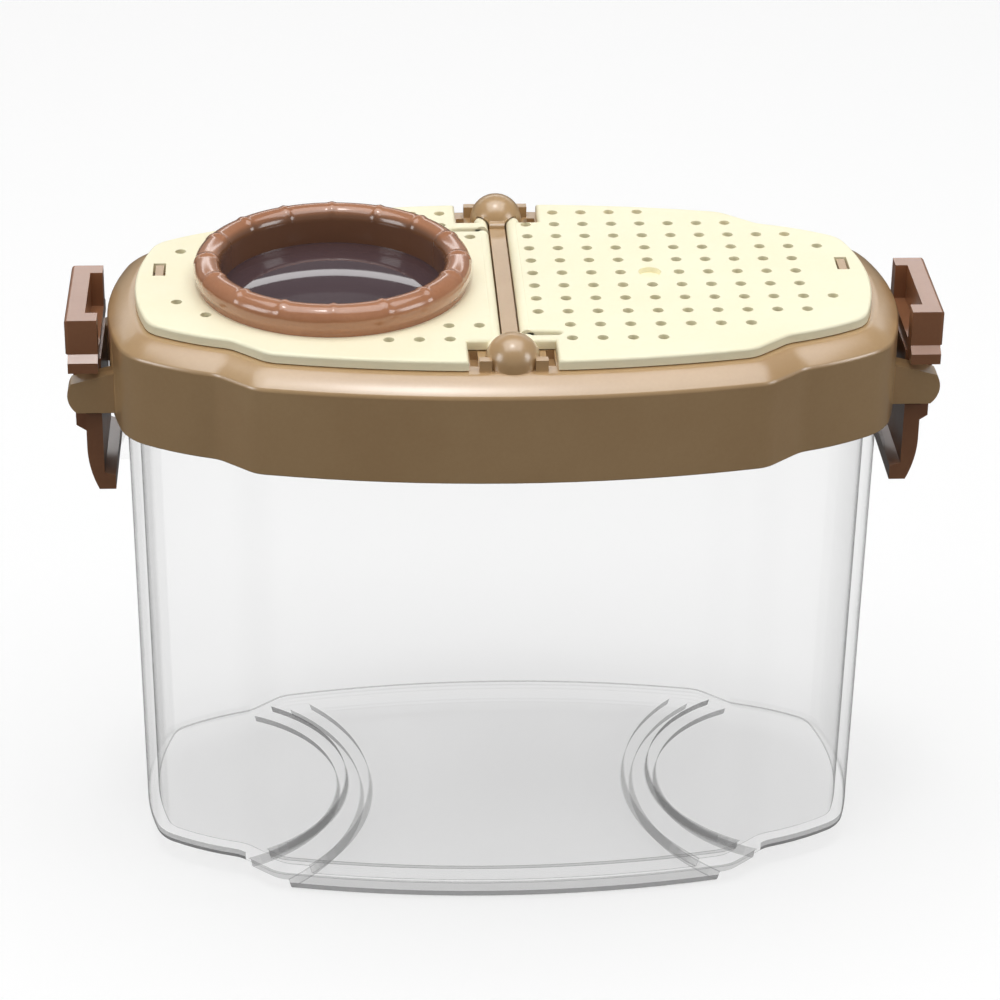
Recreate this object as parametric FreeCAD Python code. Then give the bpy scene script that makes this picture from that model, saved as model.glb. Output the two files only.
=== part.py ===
# Bug viewer box: a clear lobed tank, a lift-off lid with two butterfly flaps,
# a magnifier in the left flap, air holes in the right one and a rocker latch at each end.
# Millimetres, X along the length, -Y to the front, Z up, origin at the middle of the foot.
import FreeCAD
import Part
import math
import os

Vector = FreeCAD.Vector

# Plan of the lid panel: end arc, corner, flank arc, S step and bulge arc in each quarter
panel_half_length = 63.5
panel_half_depth = 33.0
end_arc_radius = 50.0
corner_radius = 5.6
flank_arc_radius = 44.0
flank_centre_from_end = 28.3
flank_crest_from_front = 8.1
step_from_end = 18.3
step_from_front = 8.3
step_normal_angle = 49.0
step_blend_radius = 6.0
bulge_sag = 5.3

# Heights
panel_top = 105.8
flap_thickness = 1.8
panel_edge_bevel = 0.4
flap_seat_gap = 0.2
deck_thickness = 2.2
skirt_drop = 20.3

# Lid frame
skirt_offset = 4.9
skirt_wall = 2.0
shoulder_width = 4.2
shoulder_height = 2.6
shoulder_power = 1.25
shoulder_bands = 5
plug_rib_depth = 5.0
plug_rib_wall = 1.5
plug_rib_gap = 0.3
port_land = 4.4
port_stop_from_notch = 1.8
port_beside_notch = 1.0
bar_width = 2.7
bar_depth = 7.0
bar_below_panel = 0.9
bar_ledge_gap = 0.5

# Clear tank
tank_wall = 2.0
rim_side_gap = 0.5
rim_top_gap = 0.3
tank_draft = 1.0
bottom_edge_size = 0.6
floor_thickness = 2.0
foot_height = 3.2
foot_inset = 1.2
upper_step_centre = 56.7
upper_step_radius = 28.5
lower_step_centre = 64.0
lower_step_radius = 40.2
step_wall = 1.6
step_draft = 0.4

# Flap hinges: barrels beside the bar, pins in the two hooded domes
barrel_radius = 1.2
bar_side_gap = 0.3
barrel_into_dome = 1.8
pin_radius = 0.8
pin_clearance = 0.05
pin_length = 2.6
pin_end_gap = 0.4
dome_from_edge = 3.6
dome_radius = 4.6
dome_rise = 5.2
dome_post_width = 2.1
dome_post_out = 1.1
dome_post_depth = 1.6
neck_below_panel = 0.1
pocket_width = 1.4
pocket_length = 6.0
pocket_depth = 1.6
notch_half_width = 7.4
flex_slot_from_notch = 3.0
flex_slot_width = 1.7
flex_slot_reach = 8.6

# Flap catches: a tooth on the deck in a window near each end of the panel
catch_from_end = 4.0
catch_y = 5.2
tooth_width = 1.4
tooth_length = 4.4
tooth_below_panel = 0.2
window_gap = 0.4

# Air holes on a grid that lies a little to the back of the panel's middle
hole_column_pitch = 5.1
hole_row_pitch = 5.3
hole_row_shift = 2.25
hole_diameter = 1.9
hole_sides = 8
hole_edge_margin = 4.3
catch_pad_length = 9.5
catch_pad_half_depth = 8.0
lens_margin = 1.4
lens_plain_half_depth = 16.0
gate_column = 5
gate_diameter = 4.0
gate_depth = 0.4

# Magnifier: bezel ring with a sleeve, lens and snap retainer
lens_bar_margin = 5.6
lens_end_margin = 10.1
ring_edge_margin = 8.3
ring_base_step = 0.7
ring_base_height = 1.0
ring_width = 4.7
ring_rise = 5.2
crown_sides = 6
sleeve_wall = 1.4
sleeve_hole_gap = 0.1
sleeve_snap = 0.5
lens_rim_cover = 0.8
lens_side_gap = 0.1
lens_edge_thickness = 2.0
lens_sag = 2.8
lens_bands = 5
lens_seat_below_panel = 1.3
lens_rim_inset = 0.3
retainer_width = 1.7
retainer_height = 1.5
retainer_side_gap = 0.05
bead_count = 16
bead_height = 0.22
bead_angle = 4.4

# Rocker latches on the lid's ends
latch_pivot_out = 3.4
latch_pivot_below_panel = 15.2
latch_half_width = 11.5
latch_head_out = 6.7
latch_head_top_below_panel = 1.9
latch_head_height = 6.3
latch_plate = 3.4
latch_flange = 3.2
latch_flange_gap = 1.2
latch_lip_height = 2.9
latch_lip_extra = 1.5
latch_lip_slope = 1.0
latch_neck_half_width = 8.2
latch_barrel_radius = 2.4
latch_pin_radius = 1.5
latch_pin_length = 2.0
latch_leg_top_below_panel = 19.7
latch_wing_out = 5.7
latch_wing_height = 4.9
latch_leg_out = 3.8
latch_leg_thickness = 2.8
latch_tip_out = 2.0
latch_hook_height = 2.6
latch_drop = 34.3
latch_edge_radius = 0.6
latch_lip_inset = 0.4
latch_leg_inset = 0.5
latch_bend_in = 0.4
latch_bend_height = 1.6
latch_wing_slope = 1.4
hook_root_rise = 0.6
hook_side_gap = 0.3
hook_under_gap = 1.1
ear_thickness = 3.6
ear_gap = 0.4
ear_out = 6.7
ear_height = 7.1
ear_bottom_below_panel = 19.0
ear_root = 2.4
ear_toe = 1.5
ear_bulge_share = 0.45
ear_nose_in = 0.7
ear_nose_drop = 1.6
ear_top_rise = 0.6
lug_reach = 1.6
lug_half_width = 7.0
lug_flat = 1.5
lug_height = 8.0
lug_root = 1.4

# Small overlap that lets fused solids share volume, and reach of cutting tools
bite = 0.5
reach = 1.0

# Worked out levels and places
step_x = panel_half_length - step_from_end
bulge_arc_radius = (step_x ** 2 + bulge_sag ** 2) / (2 * bulge_sag)
dome_centre_y = panel_half_depth - dome_from_edge
notch_y = dome_centre_y - dome_radius
barrel_half_length = notch_y + barrel_into_dome
port_stop_y = notch_y - port_stop_from_notch
flex_slot_y = notch_y - flex_slot_from_notch
hole_columns = int(panel_half_length / hole_column_pitch)
hole_rows_each_way = int(panel_half_depth / hole_row_pitch)
ring_room = panel_half_length - lens_bar_margin - lens_end_margin
ring_outer_radius = min(panel_half_depth - ring_edge_margin, ring_room / 2)
ring_base_radius = ring_outer_radius - ring_base_step
ring_bore_radius = ring_outer_radius - ring_width
lens_radius = ring_bore_radius + lens_rim_cover
lens_from_middle = lens_bar_margin + ring_outer_radius
flap_bottom = panel_top - flap_thickness
deck_top = flap_bottom - flap_seat_gap
deck_under = deck_top - deck_thickness
skirt_bottom = panel_top - skirt_drop
rim_top = deck_under - rim_top_gap
rim_offset = skirt_offset - skirt_wall - rim_side_gap
base_offset = rim_offset - tank_draft
end_floor_top = foot_height + floor_thickness
bar_top = panel_top - bar_below_panel
hinge_x = bar_width / 2 + bar_side_gap + barrel_radius
hinge_z = panel_top - barrel_radius
lens_seat = panel_top - lens_seat_below_panel
sleeve_inner = lens_radius + lens_side_gap
sleeve_outer = sleeve_inner + sleeve_wall
lens_bottom = lens_seat - lens_edge_thickness
retainer_bottom = lens_bottom - retainer_height
lid_half_length = panel_half_length + skirt_offset
pivot_x = lid_half_length + latch_pivot_out
pivot_z = panel_top - latch_pivot_below_panel
hook_bottom = panel_top - latch_drop
hook_top = hook_bottom + latch_hook_height
lug_bottom = hook_top + hook_under_gap
catch_x = panel_half_length - catch_from_end


def unit(vector):
    """Vector of length one in the same direction."""
    return vector * (1.0 / vector.Length)


def meet_circles(first, first_radius, second, second_radius):
    """The meeting point of two circles on the left of the line from first to second."""
    line = second - first
    span = line.Length
    along = (span ** 2 + first_radius ** 2 - second_radius ** 2) / (2 * span)
    across = math.sqrt(first_radius ** 2 - along ** 2)
    ahead = unit(line)
    left = Vector(-ahead.y, ahead.x, 0)
    return first + ahead * along + left * across


def meet_line(point, ahead, centre, radius):
    """The last point where a line that runs ahead leaves a circle."""
    to_centre = centre - point
    along = to_centre.dot(ahead)
    across = to_centre.Length ** 2 - along ** 2
    return point + ahead * (along + math.sqrt(radius ** 2 - across))


def arc_middle(start, end, centre):
    """The point halfway along the short arc about a centre."""
    radius = (start - centre).Length
    return centre + unit((start - centre) + (end - centre)) * radius


def quarter_path(offset):
    """Start point and steps of one quarter of the plan, from the end arc to the bulge arc."""
    end_centre = Vector(panel_half_length - end_arc_radius, 0, 0)
    flank_centre = Vector(panel_half_length - flank_centre_from_end,
                          panel_half_depth - flank_crest_from_front - flank_arc_radius, 0)
    bulge_centre = Vector(0, panel_half_depth - bulge_arc_radius, 0)
    end_radius = end_arc_radius + offset
    flank_radius = flank_arc_radius + offset
    bulge_radius = bulge_arc_radius + offset
    angle = math.radians(step_normal_angle)
    outward = Vector(math.cos(angle), math.sin(angle), 0)
    upward = Vector(-outward.y, outward.x, 0)
    on_step = Vector(step_x, panel_half_depth - step_from_front, 0)
    on_step = on_step + outward * offset

    corner_centre = meet_circles(end_centre, end_arc_radius - corner_radius,
                                 flank_centre, flank_arc_radius - corner_radius)
    if corner_centre.y < 0:
        corner_centre = meet_circles(flank_centre, flank_arc_radius - corner_radius,
                                     end_centre, end_arc_radius - corner_radius)
    hollow_centre = meet_line(on_step + outward * step_blend_radius, upward,
                              flank_centre, flank_radius + step_blend_radius)
    crest_centre = meet_line(on_step - outward * step_blend_radius, upward,
                             bulge_centre, bulge_radius - step_blend_radius)

    start = end_centre + unit(corner_centre - end_centre) * end_radius
    flank_start = flank_centre + unit(corner_centre - flank_centre) * flank_radius
    flank_end = flank_centre + unit(hollow_centre - flank_centre) * flank_radius
    step_start = hollow_centre - outward * step_blend_radius
    step_end = crest_centre + outward * step_blend_radius
    bulge_start = bulge_centre + unit(crest_centre - bulge_centre) * bulge_radius
    steps = [
        (arc_middle(start, flank_start, corner_centre), flank_start),
        (arc_middle(flank_start, flank_end, flank_centre), flank_end),
        (arc_middle(flank_end, step_start, hollow_centre), step_start),
        (None, step_end),
        (arc_middle(step_end, bulge_start, crest_centre), bulge_start),
    ]
    return start, steps


def mirrored(point, sign_x, sign_y, z):
    """A plan point moved to another quarter and height."""
    return Vector(sign_x * point.x, sign_y * point.y, z)


def plan_edge(start, middle, end):
    """An arc through three points, or a line where there is no middle."""
    if middle is None:
        return Part.LineSegment(start, end).toShape()
    return Part.Arc(start, middle, end).toShape()


def outline(offset, z):
    """Closed lobed outline at a height, offset from the edge of the panel."""
    start, forward = quarter_path(offset)
    ends = [start] + [end for middle, end in forward]
    backward = [(forward[index][0], ends[index]) for index in reversed(range(len(forward)))]
    end_tip = Vector(panel_half_length + offset, 0, 0)
    bulge_tip = Vector(0, panel_half_depth + offset, 0)
    legs = [
        (1, 1, [(end_tip, start)] + forward),
        (-1, 1, [(bulge_tip, ends[-1])] + backward),
        (-1, -1, [(end_tip, start)] + forward),
        (1, -1, [(bulge_tip, ends[-1])] + backward),
    ]
    edges = []
    here = mirrored(start, 1, -1, z)
    for sign_x, sign_y, path in legs:
        for middle, end in path:
            through = None
            if middle is not None:
                through = mirrored(middle, sign_x, sign_y, z)
            there = mirrored(end, sign_x, sign_y, z)
            edges.append(plan_edge(here, through, there))
            here = there
    return Part.Wire(edges)


def prism(offset, bottom, top):
    """Upright solid on the lobed outline."""
    return Part.Face(outline(offset, bottom)).extrude(Vector(0, 0, top - bottom))


def tapered(bottom_offset, bottom, top_offset, top):
    """Drafted solid between two lobed outlines."""
    return Part.makeLoft([outline(bottom_offset, bottom), outline(top_offset, top)], True, True)


def block(x_low, x_high, y_low, y_high, z_low, z_high):
    """Box between two corners."""
    corner = Vector(x_low, y_low, z_low)
    return Part.makeBox(x_high - x_low, y_high - y_low, z_high - z_low, corner)


def cylinder_y(x, z, radius, y_low, y_high):
    """Cylinder along Y."""
    return Part.makeCylinder(radius, y_high - y_low, Vector(x, y_low, z), Vector(0, 1, 0))


def section_face(points):
    """Face across Y from X and Z pairs. A step of four numbers is an arc through its first pair."""
    edges = []
    here = Vector(points[0][0], 0, points[0][1])
    for step in points[1:] + [points[0]]:
        through = None
        if len(step) == 4:
            through = Vector(step[0], 0, step[1])
        there = Vector(step[-2], 0, step[-1])
        edges.append(plan_edge(here, through, there))
        here = there
    return Part.Face(Part.Wire(edges))


def extruded_y(points, y_low, y_high):
    """Solid with one section all along Y."""
    face = section_face(points)
    face.translate(Vector(0, y_low, 0))
    return face.extrude(Vector(0, y_high - y_low, 0))


def revolved(points, x, angle=360.0, start=0.0):
    """Solid turned about an upright axis, from a section of radius and height."""
    face = section_face(points)
    face.rotate(Vector(0, 0, 0), Vector(0, 0, 1), start)
    solid = face.revolve(Vector(0, 0, 0), Vector(0, 0, 1), angle)
    solid.translate(Vector(x, 0, 0))
    return solid


def mirror_x(shape):
    """The same piece on the other side of the middle."""
    return shape.mirror(Vector(0, 0, 0), Vector(1, 0, 0))


def base_steps(side, bottom, inset):
    """Two round terraces, one on the other, that raise one end of the floor."""
    riser = foot_height / 2
    low = Vector(side * lower_step_centre, 0, bottom)
    high = Vector(side * upper_step_centre, 0, bottom + riser)
    low_radius = lower_step_radius - inset
    high_radius = upper_step_radius - inset
    terrace = Part.makeCone(low_radius + step_draft, low_radius, riser, low)
    return terrace.fuse(Part.makeCone(high_radius + step_draft, high_radius, riser, high))


def tank_end_x(z):
    """Outer face of the tank's end wall at a height."""
    share = (z - foot_height) / (rim_top - foot_height)
    return panel_half_length + base_offset + tank_draft * share


def tank_walls():
    """Outer form of the tank's drafted walls, filled."""
    return tapered(base_offset, foot_height + bottom_edge_size, rim_offset, rim_top)


def make_right_catch():
    """Wedge on the tank's right end wall that the latch hooks under."""
    wall = tank_end_x(lug_bottom)
    root = wall - lug_root
    tip = wall + lug_reach
    section = [(root, lug_bottom), (tip, lug_bottom), (tip, lug_bottom + lug_flat),
               (root, lug_bottom + lug_height)]
    return extruded_y(section, -lug_half_width, lug_half_width).cut(tank_walls())


def make_tank():
    """Clear tank with terraced end floors and an hourglass foot."""
    # Two sloped bands stand for the rounded bottom edge
    soft = bottom_edge_size * (1 - math.sqrt(0.5))
    rounding = [outline(base_offset - bottom_edge_size, foot_height),
                outline(base_offset - soft, foot_height + soft),
                outline(base_offset, foot_height + bottom_edge_size)]
    shell = tank_walls().fuse(Part.makeLoft(rounding, True, True))
    foot_offset = base_offset - foot_inset
    foot = prism(foot_offset, 0, end_floor_top)
    cavity = tapered(base_offset - tank_wall, end_floor_top, rim_offset - tank_wall, rim_top)
    pocket = prism(foot_offset - tank_wall, floor_thickness, end_floor_top + reach)
    for side in (-1, 1):
        foot = foot.cut(base_steps(side, 0, step_wall))
        pocket = pocket.cut(base_steps(side, floor_thickness, 0))
    return shell.fuse(foot).cut(cavity).cut(pocket).removeSplitter()


def port(side):
    """Opening through the deck under one flap."""
    opening = prism(-port_land, deck_under - reach, deck_top + reach)
    near = bar_width / 2
    beside_dome = notch_half_width + port_beside_notch
    slab = block(near, panel_half_length, -panel_half_depth, panel_half_depth,
                 deck_under - reach, deck_top + reach)
    for end in (-1, 1):
        y_low, y_high = sorted((end * port_stop_y, end * panel_half_depth))
        slab = slab.cut(block(0, beside_dome, y_low, y_high, 0, panel_top))
    if side < 0:
        slab = mirror_x(slab)
    return opening.common(slab)


def hinge_dome(end):
    """Hooded dome at one end of the hinge bar, and the posts beside it."""
    y = end * dome_centre_y
    base = deck_top - bite
    top = deck_top + dome_rise
    spring = top - dome_radius
    diagonal = dome_radius * math.sqrt(0.5)
    section = [(0, base), (dome_radius, base), (dome_radius, spring),
               (diagonal, spring + diagonal, 0, top)]
    dome = revolved(section, 0)
    dome.translate(Vector(0, y, 0))
    y_low, y_high = sorted((end * (notch_y - reach), end * dome_centre_y))
    neck = block(-bar_width / 2, bar_width / 2, y_low, y_high, base, panel_top - neck_below_panel)
    dome = dome.fuse(neck)
    for side in (-1, 1):
        post_x = side * (dome_radius + dome_post_out - dome_post_width / 2)
        post_y = end * (panel_half_depth - dome_post_depth / 2)
        post = block(post_x - dome_post_width / 2, post_x + dome_post_width / 2,
                     post_y - dome_post_depth / 2, post_y + dome_post_depth / 2, base, panel_top)
        dome = dome.fuse(post)
    return dome


def dome_pocket(side, end):
    """Blind pocket in the deck beside one dome."""
    near = dome_radius + dome_post_out
    x_low, x_high = sorted((side * near, side * (near + pocket_width)))
    y_low, y_high = sorted((end * notch_y, end * (notch_y + pocket_length)))
    return block(x_low, x_high, y_low, y_high, deck_top - pocket_depth, deck_top + reach)


def barrel_room(side):
    """Room in the frame for a flap's barrel, and the blind sockets for its pins."""
    half = barrel_half_length + bar_side_gap
    trough = cylinder_y(side * hinge_x, hinge_z, barrel_radius + bar_side_gap, -half, half)
    socket_end = barrel_half_length + pin_length + pin_end_gap
    sockets = cylinder_y(side * hinge_x, hinge_z, pin_radius + pin_clearance, -socket_end, socket_end)
    return trough.fuse(sockets)


def latch_ear(end):
    """Lug on the right skirt that carries one trunnion of the latch."""
    bottom = panel_top - ear_bottom_below_panel
    top = bottom + ear_height
    tip = lid_half_length + ear_out
    inner = lid_half_length - ear_root
    section = [(inner, bottom), (tip - ear_toe, bottom),
               (tip, bottom + ear_height * ear_bulge_share, tip - ear_nose_in, top - ear_nose_drop),
               (inner, top + ear_top_rise)]
    near = latch_neck_half_width + ear_gap
    y_low, y_high = sorted((end * near, end * (near + ear_thickness)))
    ear = extruded_y(section, y_low, y_high)
    socket_end = latch_neck_half_width + latch_pin_length + pin_end_gap
    y_low, y_high = sorted((end * (near - reach), end * socket_end))
    return ear.cut(cylinder_y(pivot_x, pivot_z, latch_pin_radius + pin_clearance, y_low, y_high))


def catch_tooth():
    """Tooth on the right end of the deck that fills the window of the flap."""
    return block(catch_x - tooth_width / 2, catch_x + tooth_width / 2,
                 catch_y - tooth_length / 2, catch_y + tooth_length / 2,
                 deck_top - bite, panel_top - tooth_below_panel)


def make_lid_frame():
    """Lid frame: rounded skirt, deck with two ports, hinge bar and domes, ears and teeth."""
    shoulder_bottom = deck_top - shoulder_height
    frame = prism(skirt_offset, skirt_bottom, shoulder_bottom)
    levels = []
    for index in range(shoulder_bands + 1):
        turn = index / shoulder_bands * math.pi / 2
        inward = shoulder_width * (1 - math.cos(turn) ** (2 / shoulder_power))
        upward = shoulder_height * math.sin(turn) ** (2 / shoulder_power)
        levels.append(outline(skirt_offset - inward, shoulder_bottom + upward))
    frame = frame.fuse(Part.makeLoft(levels, True, True))
    frame = frame.cut(prism(skirt_offset - skirt_wall, skirt_bottom - reach, deck_under))
    rib_outer = rim_offset - tank_wall - plug_rib_gap
    rib_bottom = deck_under - plug_rib_depth
    rib = prism(rib_outer, rib_bottom, deck_under + bite)
    rib = rib.cut(prism(rib_outer - plug_rib_wall, rib_bottom - reach, deck_under + reach))
    frame = frame.fuse(rib)
    for side in (-1, 1):
        frame = frame.cut(port(side))
    bar = block(-bar_width / 2, bar_width / 2, -notch_y, notch_y, bar_top - bar_depth, bar_top)
    # The ledge closes the deck below the two barrels
    ledge_half = hinge_x + barrel_radius
    ledge = block(-ledge_half, ledge_half, -notch_y, notch_y, deck_under,
                  hinge_z - barrel_radius - bar_ledge_gap)
    added = [bar, ledge, hinge_dome(1), hinge_dome(-1)]
    for right in (latch_ear(1), latch_ear(-1), catch_tooth()):
        added += [right, mirror_x(right)]
    frame = frame.fuse(added)
    for side in (-1, 1):
        frame = frame.cut([barrel_room(side), dome_pocket(side, 1), dome_pocket(side, -1)])
    return frame.removeSplitter()


def hole_places(side):
    """Centres of the air holes of one flap."""
    inside = Part.Face(outline(-hole_edge_margin, 0))
    lens_clear = ring_outer_radius + lens_margin
    slot_y = -side * flex_slot_y
    slot_clear = hole_diameter + flex_slot_width
    places = []
    for row in range(-hole_rows_each_way, hole_rows_each_way + 1):
        for column in range(1, hole_columns + 1):
            x = column * hole_column_pitch
            in_grid = row * hole_row_pitch
            y = in_grid + hole_row_shift
            near_catch = x > panel_half_length - catch_pad_length and abs(in_grid) < catch_pad_half_depth
            in_notch = x < notch_half_width and abs(y) > notch_y - hole_diameter / 2
            in_slot = x < flex_slot_reach and abs(y - slot_y) < slot_clear
            under_lens = side < 0 and math.hypot(x - lens_from_middle, y) < lens_clear
            by_lens = side < 0 and column == 1 and abs(y) < lens_plain_half_depth
            at_gate = side > 0 and column == gate_column and row == 0
            if near_catch or in_notch or in_slot or under_lens or by_lens or at_gate:
                continue
            if inside.isInside(Vector(x, in_grid, 0), 0.001, True):
                places.append(Vector(side * x, y, 0))
    return places


def hole_drill(place):
    """Many-sided tool for one air hole, with the area of the round hole."""
    step = 2 * math.pi / hole_sides
    corner_radius_of_hole = hole_diameter / 2 * math.sqrt(step / math.sin(step))
    corners = []
    for index in range(hole_sides + 1):
        turn = (index + 0.5) * step
        corners.append(Vector(place.x + corner_radius_of_hole * math.cos(turn),
                              place.y + corner_radius_of_hole * math.sin(turn), flap_bottom - reach))
    face = Part.Face(Part.makePolygon(corners))
    return face.extrude(Vector(0, 0, flap_thickness + 2 * reach))


def make_flap(side):
    """Half of the panel with its hinge barrel, pins, dome notches, flex slot and air holes."""
    plate = prism(0, flap_bottom, panel_top - panel_edge_bevel)
    plate = plate.fuse(tapered(0, panel_top - panel_edge_bevel, -panel_edge_bevel, panel_top))
    plate = plate.common(block(hinge_x, panel_half_length + reach, -panel_half_depth - reach,
                               panel_half_depth + reach, flap_bottom - reach, panel_top + reach))
    for end in (-1, 1):
        y_low, y_high = sorted((end * notch_y, end * (panel_half_depth + reach)))
        plate = plate.cut(block(0, notch_half_width, y_low, y_high, flap_bottom - reach, panel_top + reach))
    barrel = cylinder_y(hinge_x, hinge_z, barrel_radius, -barrel_half_length, barrel_half_length)
    pin_end = barrel_half_length + pin_length
    pin = cylinder_y(hinge_x, hinge_z, pin_radius, -pin_end, pin_end)
    flap = plate.fuse([barrel, pin])
    slot_low = -flex_slot_y - flex_slot_width / 2
    slot_high = -flex_slot_y + flex_slot_width / 2
    slot_end = flex_slot_reach - flex_slot_width / 2
    slot = block(0, slot_end, slot_low, slot_high, hinge_z - barrel_radius - reach, panel_top + reach)
    round_end = Part.makeCylinder(flex_slot_width / 2, flap_thickness + 2 * reach,
                                  Vector(slot_end, -flex_slot_y, flap_bottom - reach))
    if side < 0:
        slot = slot.mirror(Vector(0, 0, 0), Vector(0, 1, 0))
        round_end = round_end.mirror(Vector(0, 0, 0), Vector(0, 1, 0))
    window = block(catch_x - tooth_width / 2 - window_gap, catch_x + tooth_width / 2 + window_gap,
                   catch_y - tooth_length / 2 - window_gap, catch_y + tooth_length / 2 + window_gap,
                   flap_bottom - reach, panel_top + reach)
    flap = flap.cut([slot, round_end, window])
    if side < 0:
        flap = mirror_x(flap)
    return flap.cut([hole_drill(place) for place in hole_places(side)])


def make_lens_flap():
    """Left flap with the hole for the magnifier's sleeve."""
    hole = Part.makeCylinder(sleeve_outer + sleeve_hole_gap, flap_thickness + 2 * reach,
                             Vector(-lens_from_middle, 0, flap_bottom - reach))
    return make_flap(-1).cut(hole).removeSplitter()


def make_vent_flap():
    """Right flap with the round mark of its moulding gate."""
    gate = Part.makeCylinder(gate_diameter / 2, gate_depth + reach,
                             Vector(gate_column * hole_column_pitch, hole_row_shift, panel_top - gate_depth))
    return make_flap(1).cut(gate).removeSplitter()


def ring_crown(growth):
    """Rounded section of the bezel above its base band, grown by a bead's height."""
    middle = (ring_outer_radius + ring_bore_radius) / 2
    half = (ring_outer_radius - ring_bore_radius) / 2 + growth
    low = panel_top + ring_base_height
    centre_z = panel_top + ring_rise + growth - half
    points = [(middle - half, low)]
    for index in range(crown_sides + 1):
        turn = math.pi * (1 - index / crown_sides)
        points.append((middle + half * math.cos(turn), centre_z + half * math.sin(turn)))
    points.append((ring_base_radius, low))
    return points


def make_lens_ring():
    """Bezel ring with grip beads, and the sleeve that snaps through the flap."""
    snap_top = flap_bottom - flap_seat_gap
    body = [(ring_bore_radius, lens_seat)] + ring_crown(0)[1:]
    body += [(ring_base_radius, panel_top), (sleeve_outer, panel_top), (sleeve_outer, snap_top),
             (sleeve_outer + sleeve_snap, snap_top), (sleeve_outer, retainer_bottom),
             (sleeve_inner, retainer_bottom), (sleeve_inner, lens_seat)]
    ring = revolved(body, -lens_from_middle)
    bore = Part.makeCylinder(ring_bore_radius, ring_rise + reach,
                             Vector(-lens_from_middle, 0, panel_top))
    beads = []
    for index in range(bead_count):
        turn = index * 360.0 / bead_count
        bead = revolved(ring_crown(bead_height), -lens_from_middle, bead_angle, turn)
        beads.append(bead.cut(bore))
    return ring.fuse(beads)


def make_lens():
    """Lens with a flat underside, a domed top in shallow bands and a flat rim under the bezel."""
    aperture = ring_bore_radius - lens_rim_inset
    sphere_radius = (aperture ** 2 + lens_sag ** 2) / (2 * lens_sag)
    full_turn = math.asin(aperture / sphere_radius)
    centre_z = lens_seat + lens_sag - sphere_radius
    section = [(0, lens_bottom), (lens_radius, lens_bottom), (lens_radius, lens_seat)]
    for index in range(lens_bands + 1):
        turn = full_turn * (1 - index / lens_bands)
        section.append((sphere_radius * math.sin(turn), centre_z + sphere_radius * math.cos(turn)))
    return revolved(section, -lens_from_middle)


def make_lens_retainer():
    """Snap ring that holds the lens up against the bezel."""
    outer = sleeve_inner - retainer_side_gap
    inner = lens_radius - retainer_width
    section = [(inner, retainer_bottom), (outer, retainer_bottom), (outer, lens_bottom),
               (inner, lens_bottom)]
    return revolved(section, -lens_from_middle)


def make_right_latch():
    """Rocker latch: channel head, lip, neck on trunnions, winged leg and hook."""
    head_top = panel_top - latch_head_top_below_panel
    head_bottom = head_top - latch_head_height
    lip_bottom = head_bottom - latch_lip_height
    leg_top = panel_top - latch_leg_top_below_panel
    out = lid_half_length + latch_head_out
    flange_in = lid_half_length + latch_flange_gap
    plate_in = out - latch_plate
    head = block(flange_in, out, -latch_half_width, latch_half_width, head_bottom, head_top)
    soft_edges = []
    for edge in head.Edges:
        box = edge.BoundBox
        if box.XMin > out - reach and box.ZMax > head_bottom + reach:
            soft_edges.append(edge)
    head = head.makeFillet(latch_edge_radius, soft_edges)
    inner_half = latch_half_width - latch_flange
    head = head.cut(block(flange_in - reach, plate_in, -inner_half, inner_half,
                          head_bottom - reach, head_top + reach))
    # The lip's section runs across the latch, with a sloped ledge below each side of the head
    lip_half = latch_half_width + latch_lip_extra
    ledge_bottom = head_bottom - latch_lip_slope
    lip_corners = [(-latch_half_width, head_bottom), (latch_half_width, head_bottom),
                   (lip_half, ledge_bottom), (lip_half, lip_bottom),
                   (-lip_half, lip_bottom), (-lip_half, ledge_bottom), (-latch_half_width, head_bottom)]
    lip_wire = Part.makePolygon([Vector(flange_in, y, z) for y, z in lip_corners])
    lip = Part.Face(lip_wire).extrude(Vector(out - latch_lip_inset - flange_in, 0, 0))
    neck = block(pivot_x - latch_barrel_radius, pivot_x + latch_barrel_radius,
                 -latch_neck_half_width, latch_neck_half_width, leg_top - bite, lip_bottom + bite)
    barrel = cylinder_y(pivot_x, pivot_z, latch_barrel_radius,
                        -latch_neck_half_width, latch_neck_half_width)
    pin_end = latch_neck_half_width + latch_pin_length
    pin = cylinder_y(pivot_x, pivot_z, latch_pin_radius, -pin_end, pin_end)
    leg_out = lid_half_length + latch_leg_out
    leg_in = leg_out - latch_leg_thickness
    lug_tip = tank_end_x(lug_bottom) + lug_reach
    tip_in = lug_tip + hook_side_gap
    tip_out = lid_half_length + latch_tip_out
    bend = hook_top + latch_hook_height
    leg = extruded_y([(leg_in, leg_top), (leg_out, leg_top), (leg_out, bend + latch_hook_height),
                      (leg_out - latch_bend_in, hook_top + latch_bend_height, tip_out, hook_bottom),
                      (tip_in, hook_bottom), (tip_in, hook_top), (leg_in, hook_top + hook_root_rise)],
                     latch_leg_inset - latch_half_width, latch_half_width - latch_leg_inset)
    wing_out = lid_half_length + latch_wing_out
    wing_bottom = leg_top - latch_wing_height
    wing = extruded_y([(leg_in + bite, leg_top), (wing_out, leg_top),
                       (wing_out, wing_bottom + latch_wing_slope),
                       (leg_in + bite, wing_bottom - latch_wing_slope)],
                      -latch_neck_half_width, latch_neck_half_width)
    return head.fuse([lip, neck, barrel, pin, leg, wing]).removeSplitter()


right_latch = make_right_latch()
right_catch = make_right_catch()
pieces = {
    "tank": make_tank(),
    "right_catch": right_catch,
    "left_catch": mirror_x(right_catch),
    "lid_frame": make_lid_frame(),
    "lens_flap": make_lens_flap(),
    "vent_flap": make_vent_flap(),
    "lens_ring": make_lens_ring(),
    "lens": make_lens(),
    "lens_retainer": make_lens_retainer(),
    "right_latch": right_latch,
    "left_latch": mirror_x(right_latch),
}

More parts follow.
